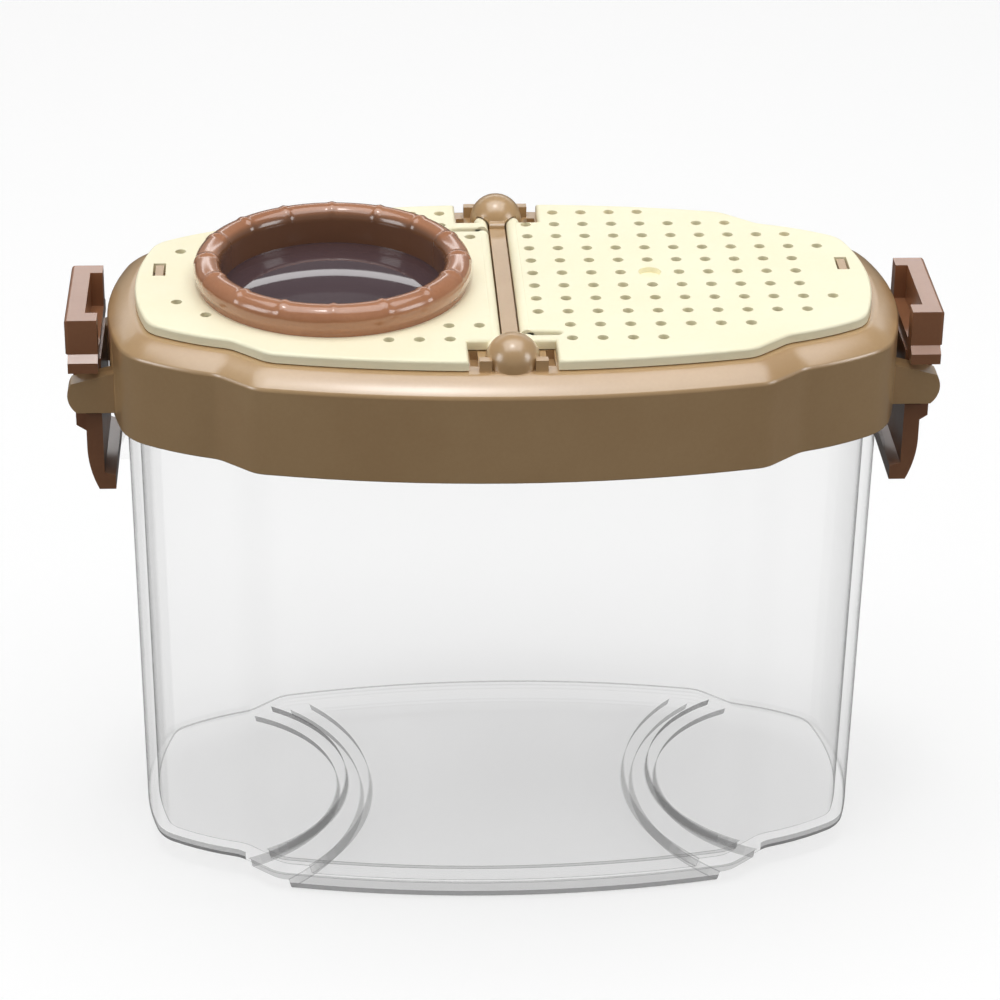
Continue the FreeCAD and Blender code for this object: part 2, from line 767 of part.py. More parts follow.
os.makedirs("parts", exist_ok=True)
for name, shape in pieces.items():
    if len(shape.Solids) == 1:
        shape = shape.Solids[0]
    shape.exportStep("parts/" + name + ".step")
    box = shape.BoundBox
    print(name, "solids", len(shape.Solids), "valid", shape.isValid(), "volume", round(shape.Volume, 1),
          "x", round(box.XMin, 2), round(box.XMax, 2), "y", round(box.YMin, 2), round(box.YMax, 2),
          "z", round(box.ZMin, 2), round(box.ZMax, 2))
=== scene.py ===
import math

import bmesh
import bpy
from mathutils import Matrix, Vector


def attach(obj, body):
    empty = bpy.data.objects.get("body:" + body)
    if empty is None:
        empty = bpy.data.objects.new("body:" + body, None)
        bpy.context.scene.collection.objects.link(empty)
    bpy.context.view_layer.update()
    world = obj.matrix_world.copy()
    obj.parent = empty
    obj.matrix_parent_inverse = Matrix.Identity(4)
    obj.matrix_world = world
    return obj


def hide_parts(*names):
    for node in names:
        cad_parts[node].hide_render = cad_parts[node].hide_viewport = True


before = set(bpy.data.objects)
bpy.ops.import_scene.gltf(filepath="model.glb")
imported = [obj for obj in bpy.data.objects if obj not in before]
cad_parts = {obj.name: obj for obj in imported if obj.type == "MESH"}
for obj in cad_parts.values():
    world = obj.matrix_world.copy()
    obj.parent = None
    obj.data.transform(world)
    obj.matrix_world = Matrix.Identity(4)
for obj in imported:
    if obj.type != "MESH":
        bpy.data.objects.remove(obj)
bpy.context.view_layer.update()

mm = 0.001

# Plan of the lid panel, as the solids have it
panel_half_length = 63.5 * mm
panel_half_depth = 33.0 * mm
end_arc_radius = 50.0 * mm
corner_radius = 5.6 * mm
flank_arc_radius = 44.0 * mm
flank_centre = Vector((35.2, -19.1)) * mm
step_point = Vector((45.2, 24.7)) * mm
step_normal = math.radians(49.0)
step_blend_radius = 6.0 * mm
bulge_sag = 5.3 * mm
plan_point_spacing = 0.8 * mm

# Flaps
panel_top = 105.8 * mm
flap_thickness = 1.8 * mm
panel_edge_round = 0.55 * mm
panel_round_steps = 4
hinge_x = 2.85 * mm
hinge_z = panel_top - 1.2 * mm
barrel_radius = 1.2 * mm
barrel_half_length = 26.6 * mm
barrel_sides = 32
pin_radius = 0.8 * mm
pin_end_y = 29.2 * mm
notch_half_width = 7.4 * mm
notch_y = 24.8 * mm
flex_slot_y = 21.8 * mm
flex_slot_width = 1.7 * mm
flex_slot_reach = 8.6 * mm
flex_slot_round_steps = 8
window_centre = Vector((59.5, 5.2)) * mm
window_size = Vector((2.2, 5.2)) * mm
hole_column_pitch = 5.1 * mm
hole_row_pitch = 5.3 * mm
hole_row_shift = 2.25 * mm
hole_columns = 12
hole_rows_each_way = 6
hole_diameter = 1.9 * mm
hole_sides = 20
hole_edge_margin = 4.3 * mm
catch_pad_length = 9.5 * mm
catch_pad_half_depth = 8.0 * mm
lens_margin = 1.4 * mm
lens_plain_half_depth = 16.0 * mm
gate_column = 5
gate_diameter = 4.0 * mm
gate_depth = 1.0 * mm
gate_sides = 32

# Magnifier
lens_centre_x = -29.5 * mm
ring_outer_radius = 23.9 * mm
ring_bore_radius = 19.2 * mm
ring_base_radius = 23.2 * mm
ring_base_height = 1.0 * mm
ring_foot_inset = 0.1 * mm
ring_foot_rise = 0.6 * mm
ring_rise = 5.2 * mm
ring_turn_steps = 320
ring_crown_steps = 20
bead_count = 16
bead_height = 0.22 * mm
bead_half_turn = math.radians(2.2)
sleeve_outer = 21.5 * mm
sleeve_inner = 20.1 * mm
sleeve_hole_gap = 0.1 * mm
sleeve_hole_sides = 96
sleeve_bottom = panel_top - 4.8 * mm
sleeve_snap = 0.5 * mm
snap_top = panel_top - 2.0 * mm
lens_radius = 20.0 * mm
lens_aperture = 18.9 * mm
lens_bottom = panel_top - 3.3 * mm
lens_seat = panel_top - 1.3 * mm
lens_sag = 2.8 * mm
lens_turn_steps = 128
lens_bands = 16

# Rounded edges of the lid frame, tank and latches
shoulder_edge_z = panel_top - 4.6 * mm
skirt_bottom = panel_top - 20.3 * mm
frame_edge_round = 0.35 * mm
tank_edge_round = 0.45 * mm
latch_edge_round = 0.4 * mm
edge_round_steps = 3
flat_angle = math.radians(0.5)
sharp_angle = math.radians(30)
level_slack = 0.02 * mm
weld_distance = 0.001 * mm

# Painted shade on the tank's base, standing for the grey lines that clear plastic shows at its edges and
# steps; from clear at 0 to solid at 1
floor_edge_levels = [4.2 * mm, 5.2 * mm]
floor_edge_start_x = 44.5 * mm
upper_step_centre = 56.7 * mm
lower_step_centre = 64.0 * mm
step_risers = [(upper_step_centre, 28.5 * mm, 0.6), (upper_step_centre, 26.9 * mm, 0.5),
               (lower_step_centre, 40.2 * mm, 0.4), (lower_step_centre, 38.6 * mm, 0.35)]
step_slack = 0.9 * mm
riser_fade_end = 30.0 * mm
riser_fade = 8.0 * mm
riser_least_share = 0.1
riser_facing = 0.75
tank_edge_shade = 0.4
end_floor_shade = 0.85
end_floor_top_shade = 0.5
foot_edge_shade = 0.7
foot_wall_shade = 0.3
front_facing = 0.3
level_facing = 0.6
back_edge_share = 0.15
edge_fade_depth = 12.0 * mm
edge_fade_steps = 8
foot_wall_top = 3.4 * mm
foot_edge_top = 1.1 * mm

# Finishes
plastic_index = 1.46
drift_scale = 38.0
speck_scale = 1500.0
speck_share = 0.2
polish_scale = 240.0
polish_range = 0.16
skin_scale = 900.0
skin_height = 0.06 * mm
# Width over which the painted shade inside the bore fades out
bore_shade_fade = 1.0 * mm
cloud_scale = 90.0
cloud_range = 0.06
cloud_dark = 0.8
clear_polish_scale = 160.0
clear_polish = 0.03

# Studio
pure_white = (1.0, 1.0, 1.0, 1.0)
floor_half_size = 6.0
floor_drop = 0.3 * mm
floor_white_share = 0.6
floor_bounce = 0.1
surroundings_strength = 0.2
lamp_target = Vector((0, 0, 90.0)) * mm
camera_place = Vector((-30.6, -536.2, 347.2)) * mm
camera_pitch = math.radians(27.93)
camera_yaw = math.radians(3.25)
camera_roll = math.radians(0.78)
camera_lens = 122.4


def srgb(red, green, blue):
    """Scene colour of a colour as a screen shows it, from 0 to 255."""
    linear = []
    for value in (red, green, blue):
        share = value / 255
        if share <= 0.04045:
            linear.append(share / 12.92)
        else:
            linear.append(((share + 0.055) / 1.055) ** 2.4)
    return (linear[0], linear[1], linear[2], 1.0)


class Wire:
    """A node's output that takes part in sums. Each sum adds a Math node."""

    def __init__(self, finish, socket):
        self.finish = finish
        self.socket = socket

    def joined(self, operation, first, second):
        return self.finish.node("ShaderNodeMath", {"operation": operation}, {0: first, 1: second})

    def __add__(self, other):
        return self.joined("ADD", self, other)

    def __radd__(self, other):
        return self.joined("ADD", other, self)

    def __sub__(self, other):
        return self.joined("SUBTRACT", self, other)

    def __rsub__(self, other):
        return self.joined("SUBTRACT", other, self)

    def __mul__(self, other):
        return self.joined("MULTIPLY", self, other)

    def __rmul__(self, other):
        return self.joined("MULTIPLY", other, self)


class Finish:
    """A material or world being built from nodes."""

    def __init__(self, owner):
        owner.use_nodes = True
        self.owner = owner
        self.tree = owner.node_tree
        self.tree.nodes.clear()

    def node(self, kind, settings=None, sockets=None, output=0):
        """Adds a node, sets it up first, then fills or links its sockets."""
        made = self.tree.nodes.new(kind)
        for key, value in (settings or {}).items():
            if key == "stops":
                for index, (place, tint) in enumerate(value):
                    if index >= len(made.color_ramp.elements):
                        made.color_ramp.elements.new(place)
                    made.color_ramp.elements[index].position = place
                    made.color_ramp.elements[index].color = tint
            else:
                setattr(made, key, value)
        for key, value in (sockets or {}).items():
            if isinstance(value, Wire):
                self.tree.links.new(value.socket, made.inputs[key])
            else:
                made.inputs[key].default_value = value
        return Wire(self, made.outputs[output])

    def mixed(self, factor, first, second):
        """Colour between two others."""
        return self.node("ShaderNodeMix", {"data_type": "RGBA"}, {0: factor, 6: first, 7: second}, 2)

    def ramp(self, value, stops):
        """Colour or grey from stops along a value."""
        return self.node("ShaderNodeValToRGB", {"stops": stops}, {"Fac": value})

    def place(self):
        """Coordinates of the surface in the part's own frame."""
        return self.node("ShaderNodeTexCoord", output="Object")

    def noise(self, scale, detail=3.0, rough=0.5):
        """Even noise of a size, as a value around one half."""
        return self.node("ShaderNodeTexNoise", {}, {"Vector": self.place(), "Scale": scale,
                                                    "Detail": detail, "Roughness": rough})

    def surface(self, shader, output="ShaderNodeOutputMaterial"):
        """Ends the tree in its output."""
        end = self.tree.nodes.new(output)
        self.tree.links.new(shader.socket, end.inputs["Surface"])
        return self.owner


def greys(stops):
    """Ramp stops with a grey of each level."""
    return [(at, (level, level, level, 1.0)) for at, level in stops]


def with_painted_bore_shade(finish, tint):
    """Painted shade: the tint, turned darker on the bore's inner wall within the bezel, where shade falls."""
    plan = finish.node("ShaderNodeVectorMath", {"operation": "MULTIPLY"},
                       {0: finish.place(), 1: (1.0, 1.0, 0.0)})
    away = finish.node("ShaderNodeVectorMath", {"operation": "DISTANCE"},
                       {0: plan, 1: (lens_centre_x, 0.0, 0.0)}, "Value")
    past_bore = finish.ramp((away - ring_bore_radius) * (1 / bore_shade_fade), greys([(0.2, 0.0), (1.0, 1.0)]))
    return finish.mixed(past_bore, painted_bore_shade_tint, tint)


def moulded(name, main, deep, gloss, peel, sheen=0.0, sheen_index=1.5, sheen_rough=0.12, paint_bore_shade=False):
    """Moulded plastic: slow colour drift, polish that varies and a fine skin texture, and painted shade
    inside the bore when asked.
    """
    finish = Finish(bpy.data.materials.new(name))
    drift = finish.noise(drift_scale, detail=4.0, rough=0.6)
    speck = finish.noise(speck_scale, detail=2.0)
    both = drift * (1 - speck_share) + speck * speck_share
    share = finish.ramp(both, greys([(0.36, 0.0), (0.66, 1.0)]))
    tint = finish.mixed(share, deep, main)
    # Painted shade on the inner wall of the bore
    if paint_bore_shade:
        tint = with_painted_bore_shade(finish, tint)
    polish = gloss + (finish.noise(polish_scale, rough=0.55) - 0.5) * polish_range
    skin = finish.node("ShaderNodeBump", {}, {"Strength": peel, "Distance": skin_height,
                                              "Height": finish.noise(skin_scale, detail=2.0)})
    shader = finish.node("ShaderNodeBsdfPrincipled", {}, {
        "Base Color": tint, "Roughness": polish, "Normal": skin, "Coat Weight": sheen,
        "Coat Roughness": sheen_rough, "Coat IOR": sheen_index, "IOR": plastic_index})
    return finish.surface(shader)


def clear(name, tint, alpha_stops, gloss, edged=False):
    """Clear plastic: see-through where it faces the eye, greyer where it is seen edge on, and with painted
    shade from the edge_shade attribute when edged.
    """
    finish = Finish(bpy.data.materials.new(name))
    edge = finish.node("ShaderNodeLayerWeight", {}, {"Blend": 0.5}, "Facing")
    cloud = finish.noise(cloud_scale, rough=0.6)
    shown = finish.ramp(edge + (cloud - 0.5) * cloud_range, greys(alpha_stops))
    if edged:
        painted_shade = finish.node("ShaderNodeAttribute", {"attribute_name": "edge_shade"}, {}, "Fac")
        shown = finish.node("ShaderNodeMath", {"operation": "MAXIMUM"}, {0: shown, 1: painted_shade})
    darker = tuple(level * cloud_dark for level in tint[:3]) + (1.0,)
    colour = finish.mixed(cloud, tint, darker)
    polish = clear_polish + finish.noise(clear_polish_scale, rough=0.6) * clear_polish
    shader = finish.node("ShaderNodeBsdfPrincipled", {}, {
        "Base Color": colour, "Roughness": polish, "Alpha": shown, "IOR": plastic_index,
        "Specular IOR Level": gloss})
    return finish.surface(shader)


# Painted shade: a darker brown for the inside of the bezel's bore, where shade falls
painted_bore_shade_tint = srgb(120, 82, 58)
tan_plastic = moulded("tan_frame_plastic", srgb(190, 156, 112), srgb(182, 147, 103), gloss=0.32, peel=0.2,
                      sheen=1.0, sheen_index=1.75, sheen_rough=0.26)
cream_plastic = moulded("cream_panel_plastic", srgb(254, 249, 220), srgb(252, 245, 212), gloss=0.42, peel=0.2)
copper_plastic = moulded("copper_ring_plastic", srgb(182, 128, 94), srgb(168, 113, 80), gloss=0.2, peel=0.1,
                         sheen=1.0, paint_bore_shade=True)
brown_plastic = moulded("brown_latch_plastic", srgb(154, 106, 74), srgb(144, 97, 67), gloss=0.34, peel=0.2,
                        sheen=0.8)
# Grey tint of the tank: it shows as painted shade along its edges, steps and foot
clear_wall = clear("clear_tank_plastic", (0.3, 0.3, 0.3, 1.0),
                   [(0.0, 0.02), (0.55, 0.04), (0.85, 0.16), (1.0, 0.6)], gloss=0.5, edged=True)
# Painted shade: the lens's dark purple-brown tint, nearly opaque when seen at a slant, stands for the dark
# inside of the bezel seen through it
lens_painted_dark = clear("clear_lens_plastic", srgb(84, 67, 72),
                   [(0.0, 0.2), (0.35, 0.55), (0.55, 0.9), (1.0, 0.95)], gloss=0.9)


def arc(start, end, centre, radius):
    """Points along the short arc from start to just before end."""
    first = math.atan2(start.y - centre.y, start.x - centre.x)
    turn = math.atan2(end.y - centre.y, end.x - centre.x) - first
    turn = (turn + math.pi) % (2 * math.pi) - math.pi
    count = max(2, math.ceil(abs(turn) * radius / plan_point_spacing))
    points = []
    for index in range(count):
        angle = first + turn * index / count
        points.append(centre + Vector((math.cos(angle), math.sin(angle))) * radius)
    return points


def meet(first, first_radius, second, second_radius):
    """The meeting point of two circles that lies furthest back."""
    line = second - first
    along = (line.length_squared + first_radius ** 2 - second_radius ** 2) / (2 * line.length)
    across = math.sqrt(first_radius ** 2 - along ** 2)
    ahead = line.normalized()
    left = Vector((-ahead.y, ahead.x))
    return max(first + ahead * along + left * across, first + ahead * along - left * across,
               key=lambda point: point.y)


def leave(point, ahead, centre, radius):
    """Where a line that runs ahead leaves a circle."""
    along = (centre - point).dot(ahead)
    across = (centre - point).length_squared - along ** 2
    return point + ahead * (along + math.sqrt(radius ** 2 - across))


def quarter(offset):
    """Plan points of the back right quarter, from the end tip to the bulge tip."""
    end_centre = Vector((panel_half_length - end_arc_radius, 0))
    bulge_radius = (step_point.x ** 2 + bulge_sag ** 2) / (2 * bulge_sag)
    bulge_centre = Vector((0, panel_half_depth - bulge_radius))
    outward = Vector((math.cos(step_normal), math.sin(step_normal)))
    upward = Vector((-outward.y, outward.x))
    on_step = step_point + outward * offset
    corner = meet(end_centre, end_arc_radius - corner_radius, flank_centre, flank_arc_radius - corner_radius)
    hollow = leave(on_step + outward * step_blend_radius, upward, flank_centre,
                   flank_arc_radius + offset + step_blend_radius)
    crest = leave(on_step - outward * step_blend_radius, upward, bulge_centre,
                  bulge_radius + offset - step_blend_radius)
    tip = Vector((panel_half_length + offset, 0))
    start = end_centre + (corner - end_centre).normalized() * (end_arc_radius + offset)
    flank_start = flank_centre + (corner - flank_centre).normalized() * (flank_arc_radius + offset)
    flank_end = flank_centre + (hollow - flank_centre).normalized() * (flank_arc_radius + offset)
    step_start = hollow - outward * step_blend_radius
    step_end = crest + outward * step_blend_radius
    bulge_start = bulge_centre + (crest - bulge_centre).normalized() * (bulge_radius + offset)
    bulge_tip = Vector((0, panel_half_depth + offset))
    points = arc(tip, start, end_centre, end_arc_radius + offset)
    points += arc(start, flank_start, corner, corner_radius + offset)
    points += arc(flank_start, flank_end, flank_centre, flank_arc_radius + offset)
    points += arc(flank_end, step_start, hollow, step_blend_radius)
    points += [step_start]
    points += arc(step_end, bulge_start, crest, step_blend_radius)
    points += arc(bulge_start, bulge_tip, bulge_centre, bulge_radius + offset)
    return points + [bulge_tip]


def right_half(offset):
    """Plan points from the front bulge tip round the right end to the back bulge tip."""
    back = quarter(offset)
    front = [Vector((point.x, -point.y)) for point in reversed(back)]
    return front[:-1] + back


def piece(name, mesh, material, body, nodes, smooth_angle=35.0):
    """Puts a finished mesh in the scene, shades it and hangs it on its body."""
    mesh.materials.clear()
    mesh.materials.append(material)
    mesh.shade_smooth()
    mesh.set_sharp_from_angle(angle=math.radians(smooth_angle))
    made = bpy.data.objects.new(name, mesh)
    bpy.context.scene.collection.objects.link(made)
    weighted = made.modifiers.new("even_shading", "WEIGHTED_NORMAL")
    weighted.keep_sharp = True
    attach(made, body)
    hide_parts(*nodes)


def merged_copy(node):
    """A node's own solid as one joined mesh."""
    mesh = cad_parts[node].data.copy()
    shape = bmesh.new()
    shape.from_mesh(mesh)
    bmesh.ops.remove_doubles(shape, verts=shape.verts, dist=weld_distance)
    shape.to_mesh(mesh)
    shape.free()
    return mesh


def at_heights(edge, heights):
    """True if an edge lies level at one of some heights, or if no heights are given."""
    if not heights:
        return True
    return any(all(abs(vert.co.z - height) < level_slack for vert in edge.verts) for height in heights)


def rounded_copy(node, radius, heights=(), shade=0.0):
    """A node's own solid with its sharp edges rounded, and a painted shade written on what was rounded."""
    mesh = merged_copy(node)
    shape = bmesh.new()
    shape.from_mesh(mesh)
    bmesh.ops.dissolve_limit(shape, angle_limit=flat_angle, verts=shape.verts, edges=shape.edges)
    painted_shade = shape.faces.layers.float.new("edge_shade")
    sharp = []
    for edge in shape.edges:
        if edge.is_manifold and edge.calc_face_angle() > sharp_angle and at_heights(edge, heights):
            sharp.append(edge)
    rounded = bmesh.ops.bevel(shape, geom=sharp, offset=radius, segments=edge_round_steps, profile=0.5,
                              affect="EDGES", clamp_overlap=True)
    for face in rounded["faces"]:
        face[painted_shade] = shade
    shape.to_mesh(mesh)
    shape.free()
    return mesh


def riser_shade(middle, normal):
    """Painted shade of a face on one of the floor's round steps, fading to the front, or nothing."""
    side = math.copysign(1.0, middle.x)
    for centre_x, radius, shade in step_risers:
        spoke = Vector((middle.x - side * centre_x, middle.y))
        facing = abs(spoke.x * normal.x + spoke.y * normal.y) / spoke.length
        if abs(spoke.length - radius) < step_slack and facing > riser_facing:
            left = (riser_fade_end + middle.y) / riser_fade
            return shade * min(1.0, max(riser_least_share, left))
    return 0.0


def front_share(depth):
    """How much of an edge's painted shade shows at a depth: all at the front, a little at the back."""
    return min(1.0, max(back_edge_share, (edge_fade_depth - depth) / (2 * edge_fade_depth)))


def base_parts(shape):
    """Corners, edges and faces of the tank's base."""
    faces = [face for face in shape.faces if face.calc_center_median().z < floor_edge_levels[-1]]
    edges = dict.fromkeys(edge for face in faces for edge in face.edges)
    verts = dict.fromkeys(vert for face in faces for vert in face.verts)
    return list(verts) + list(edges) + faces


def make_tank():
    """The tank with rounded edges, and painted shade on its floor's risers, its end floors' edge and its
    foot, where clear plastic shows grey lines.
    """
    mesh = rounded_copy("tank", tank_edge_round, shade=tank_edge_shade)
    shape = bmesh.new()
    shape.from_mesh(mesh)
    painted_shade = shape.faces.layers.float["edge_shade"]
    for level in [foot_edge_top] + floor_edge_levels:
        every = shape.verts[:] + shape.edges[:] + shape.faces[:]
        bmesh.ops.bisect_plane(shape, geom=every, plane_co=(0, 0, level), plane_no=(0, 0, 1))
    for index in range(edge_fade_steps + 1):
        depth = edge_fade_depth * (2 * index / edge_fade_steps - 1)
        bmesh.ops.bisect_plane(shape, geom=base_parts(shape), plane_co=(0, depth, 0), plane_no=(0, 1, 0))
    for face in shape.faces:
        middle = face.calc_center_median()
        if middle.z > floor_edge_levels[-1]:
            continue
        share = front_share(middle.y)
        on_front = middle.y < 0 and face.normal.y < -front_facing
        face[painted_shade] = face[painted_shade] * share
        if on_front and middle.z < foot_edge_top:
            face[painted_shade] = foot_edge_shade
        if abs(face.normal.z) > level_facing:
            continue
        riser = riser_shade(middle, face.normal)
        if riser > 0:
            face[painted_shade] = riser
        elif abs(middle.x) > floor_edge_start_x:
            below = middle.z < floor_edge_levels[0]
            face[painted_shade] = share * (end_floor_shade if below else end_floor_top_shade)
        elif on_front and foot_edge_top < middle.z < foot_wall_top:
            face[painted_shade] = foot_wall_shade
    shape.to_mesh(mesh)
    shape.free()
    return mesh


def mesh_of(name, shape):
    """Plain mesh from an edit mesh."""
    bmesh.ops.recalc_face_normals(shape, faces=shape.faces)
    mesh = bpy.data.meshes.new(name)
    shape.to_mesh(mesh)
    shape.free()
    return mesh


def turned(shape, sections, centre_x):
    """Closes a solid of revolution from one closed section of radius and height at each step."""
    rings = []
    count = len(sections)
    for index, section in enumerate(sections):
        angle = 2 * math.pi * index / count
        across = math.cos(angle)
        along = math.sin(angle)
        rings.append([shape.verts.new((centre_x + radius * across, radius * along, height))
                      for radius, height in section])
    for index, ring in enumerate(rings):
        following = rings[(index + 1) % count]
        for corner in range(len(ring)):
            beside = (corner + 1) % len(ring)
            shape.faces.new((ring[corner], following[corner], following[beside], ring[beside]))


def ring_section(growth):
    """Closed section of the bezel and its sleeve, with the crown grown by a bead."""
    middle = (ring_outer_radius + ring_bore_radius) / 2
    half = (ring_outer_radius - ring_bore_radius) / 2
    centre_z = panel_top + ring_rise - half
    points = [(sleeve_inner, lens_seat), (ring_bore_radius, lens_seat)]
    for index in range(ring_crown_steps + 1):
        turn = math.pi * (1 - index / ring_crown_steps)
        swell = half + growth * math.sin(turn) ** 0.5 if 0 < index < ring_crown_steps else half
        points.append((middle + swell * math.cos(turn), centre_z + swell * math.sin(turn)))
    low = panel_top + ring_base_height
    points += [(ring_outer_radius - ring_foot_inset, low + ring_foot_rise), (ring_base_radius, low),
               (ring_base_radius, panel_top), (sleeve_outer, panel_top), (sleeve_outer, snap_top),
               (sleeve_outer + sleeve_snap, snap_top), (sleeve_outer, sleeve_bottom),
               (sleeve_inner, sleeve_bottom)]
    return points


def bead_growth(angle):
    """How far the crown stands out at an angle: smooth bumps at an even pitch."""
    pitch = 2 * math.pi / bead_count
    away = abs((angle + pitch / 2) % pitch - pitch / 2)
    if away >= bead_half_turn:
        return 0.0
    return bead_height * (0.5 + 0.5 * math.cos(math.pi * away / bead_half_turn))


def make_lens_ring():
    """Glossy bezel with grip beads and its sleeve."""
    shape = bmesh.new()
    sections = []
    for index in range(ring_turn_steps):
        sections.append(ring_section(bead_growth(2 * math.pi * index / ring_turn_steps)))
    turned(shape, sections, lens_centre_x)
    return mesh_of("magnifier_bezel", shape)


def make_lens():
    """Plano-convex lens with a flat rim."""
    sphere_radius = (lens_aperture ** 2 + lens_sag ** 2) / (2 * lens_sag)
    centre_z = lens_seat + lens_sag - sphere_radius
    section = [(lens_radius, lens_bottom), (lens_radius, lens_seat)]
    for index in range(lens_bands):
        turn = math.asin(lens_aperture / sphere_radius) * (1 - index / lens_bands)
        section.append((sphere_radius * math.sin(turn), centre_z + sphere_radius * math.cos(turn)))
    shape = bmesh.new()
    rings = []
    for radius, height in section:
        ring = []
        for index in range(lens_turn_steps):
            angle = 2 * math.pi * index / lens_turn_steps
            ring.append(shape.verts.new((lens_centre_x + radius * math.cos(angle),
                                         radius * math.sin(angle), height)))
        rings.append(ring)
    for lower, upper in zip(rings, rings[1:]):
        for index in range(lens_turn_steps):
            beside = (index + 1) % lens_turn_steps
            shape.faces.new((lower[index], lower[beside], upper[beside], upper[index]))
    shape.faces.new(list(reversed(rings[0])))
    crown = shape.verts.new((lens_centre_x, 0, lens_seat + lens_sag))
    for index in range(lens_turn_steps):
        shape.faces.new((rings[-1][index], rings[-1][(index + 1) % lens_turn_steps], crown))
    return mesh_of("magnifier_lens", shape)


def inside(point, ring):
    """True if a plan point lies inside a closed ring of points."""
    within = False
    for first, second in zip(ring, ring[1:] + ring[:1]):
        if (first.y > point.y) != (second.y > point.y):
            crossing = first.x + (point.y - first.y) / (second.y - first.y) * (second.x - first.x)
            if point.x < crossing:
                within = not within
    return within


def hole_places(side):
    """Plan centres of the air holes of one flap."""
    margin = right_half(-hole_edge_margin)
    clear_of_lens = ring_outer_radius + lens_margin
    clear_of_slot = hole_diameter + flex_slot_width
    places = []
    for row in range(-hole_rows_each_way, hole_rows_each_way + 1):
        for column in range(1, hole_columns + 1):
            in_grid = Vector((column * hole_column_pitch, row * hole_row_pitch))
            point = in_grid + Vector((0, hole_row_shift))
            by_end = point.x > panel_half_length - catch_pad_length
            near_catch = by_end and abs(in_grid.y) < catch_pad_half_depth
            in_notch = point.x < notch_half_width and abs(point.y) > notch_y - hole_diameter / 2
            in_slot = point.x < flex_slot_reach and abs(point.y + side * flex_slot_y) < clear_of_slot
            under_lens = side < 0 and (point - Vector((-lens_centre_x, 0))).length < clear_of_lens
            by_lens = side < 0 and column == 1 and abs(point.y) < lens_plain_half_depth
            at_gate = side > 0 and column == gate_column and row == 0
            taken = near_catch or in_notch or in_slot or under_lens or by_lens or at_gate
            if not taken and inside(in_grid, margin):
                places.append(point)
    return places


def flap_plan(side):
    """Boundary of one flap without its holes, as if on the right, counter-clockwise."""
    edge = [point for point in right_half(0.0) if point.x > notch_half_width + 2 * panel_edge_round]
    slot_sign = -side
    slot_low = slot_sign * flex_slot_y - flex_slot_width / 2
    slot_high = slot_sign * flex_slot_y + flex_slot_width / 2
    slot_end = flex_slot_reach - flex_slot_width / 2
    slot = [Vector((hinge_x, slot_high)), Vector((slot_end, slot_high))]
    for index in range(1, flex_slot_round_steps):
        angle = math.pi / 2 - math.pi * index / flex_slot_round_steps
        slot.append(Vector((slot_end + math.cos(angle) * flex_slot_width / 2,
                            slot_sign * flex_slot_y + math.sin(angle) * flex_slot_width / 2)))
    slot += [Vector((slot_end, slot_low)), Vector((hinge_x, slot_low))]
    back = [Vector((notch_half_width, edge[-1].y)), Vector((notch_half_width, notch_y)),
            Vector((hinge_x, notch_y))]
    front = [Vector((hinge_x, -notch_y)), Vector((notch_half_width, -notch_y)),
             Vector((notch_half_width, edge[0].y))]
    return edge + back + slot + front


def add_barrel(shape, radius, y_low, y_high):
    """Closed round bar along the hinge line."""
    rings = []
    for y in (y_low, y_high):
        ring = []
        for index in range(barrel_sides):
            angle = 2 * math.pi * index / barrel_sides
            ring.append(shape.verts.new((hinge_x + radius * math.cos(angle), y,
                                         hinge_z + radius * math.sin(angle))))
        rings.append(ring)
    for index in range(barrel_sides):
        beside = (index + 1) % barrel_sides
        shape.faces.new((rings[0][index], rings[0][beside], rings[1][beside], rings[1][index]))
    shape.faces.new(rings[0])
    shape.faces.new(rings[1])


def drill_tree():
    """Node tree that cuts a copy of a drill out of a plate at each point of another mesh."""
    tree = bpy.data.node_groups.new("drilled_plate", "GeometryNodeTree")
    sockets = tree.interface
    sockets.new_socket("Geometry", in_out="INPUT", socket_type="NodeSocketGeometry")
    sockets.new_socket("Hole places", in_out="INPUT", socket_type="NodeSocketObject")
    sockets.new_socket("Drill", in_out="INPUT", socket_type="NodeSocketObject")
    sockets.new_socket("Finish", in_out="INPUT", socket_type="NodeSocketMaterial")
    sockets.new_socket("Geometry", in_out="OUTPUT", socket_type="NodeSocketGeometry")
    given = tree.nodes.new("NodeGroupInput")
    result = tree.nodes.new("NodeGroupOutput")
    places = tree.nodes.new("GeometryNodeObjectInfo")
    drill = tree.nodes.new("GeometryNodeObjectInfo")
    spread = tree.nodes.new("GeometryNodeInstanceOnPoints")
    solid_drills = tree.nodes.new("GeometryNodeRealizeInstances")
    cut = tree.nodes.new("GeometryNodeMeshBoolean")
    cut.operation = "DIFFERENCE"
    cut.solver = "EXACT"
    whole = tree.nodes.new("GeometryNodeRealizeInstances")
    coat = tree.nodes.new("GeometryNodeSetMaterial")
    link = tree.links.new
    link(given.outputs["Hole places"], places.inputs["Object"])
    link(given.outputs["Drill"], drill.inputs["Object"])
    link(places.outputs["Geometry"], spread.inputs["Points"])
    link(drill.outputs["Geometry"], spread.inputs["Instance"])
    link(spread.outputs["Instances"], solid_drills.inputs["Geometry"])
    link(given.outputs["Geometry"], cut.inputs["Mesh 1"])
    link(solid_drills.outputs["Geometry"], cut.inputs["Mesh 2"])
    link(cut.outputs["Mesh"], whole.inputs["Geometry"])
    link(whole.outputs["Geometry"], coat.inputs["Geometry"])
    link(given.outputs["Finish"], coat.inputs["Material"])
    link(coat.outputs["Geometry"], result.inputs["Geometry"])
    return tree


drilling = drill_tree()


def round_drill(radius, sides):
    """Plan points of a round drill about the origin."""
    turns = [2 * math.pi * index / sides for index in range(sides)]
    return [Vector((radius * math.cos(turn), radius * math.sin(turn))) for turn in turns]


